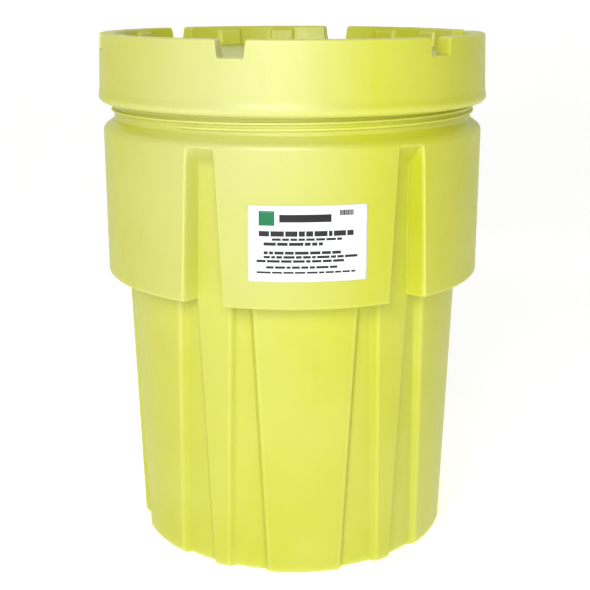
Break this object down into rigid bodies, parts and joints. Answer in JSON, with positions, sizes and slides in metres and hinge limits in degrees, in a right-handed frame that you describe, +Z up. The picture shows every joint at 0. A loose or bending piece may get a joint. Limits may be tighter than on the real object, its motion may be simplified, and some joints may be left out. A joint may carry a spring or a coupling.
{
  "type": "overpack salvage drum",
  "caption": "Tall fluted polyethylene salvage drum with a wide double-walled screw lid, notched crown, foam gasket and a plain label.",
  "frame": {"origin": "centre of the base, on the surface that the drum stands on", "axes": "+Z up along the drum's axis, -Y towards the label"},
  "size_m": [0.796, 0.796, 1.054],
  "materials": {
    "drum_shell": "satin rotomoulded polyethylene, safety yellow",
    "lid_shell": "satin rotomoulded polyethylene, safety yellow",
    "gasket_foam": "matte closed-cell foam rubber",
    "label_vinyl": "satin white vinyl with plain dark bars"
  },
  "bodies": {
    "drum": {"drum_body": "drum_shell", "product_label": "label_vinyl"},
    "gasket": {"lid_gasket": "gasket_foam"},
    "lid": {"lid": "lid_shell"}
  },
  "joints": [
    {"name": "lid_rise", "type": "slide", "parent": "drum", "child": "gasket", "axis": [0, 0, 1], "range_m": [0, 0.0881]},
    {"name": "lid_turn", "type": "hinge", "parent": "gasket", "child": "lid", "pos_m": [0, 0, 0.95], "axis": [0, 0, 1], "range_deg": [0, 1440]}
  ],
  "couplings": [
    {"joint": "lid_rise", "follows": "lid_turn", "m_per_rad": 0.0035014}
  ]
}
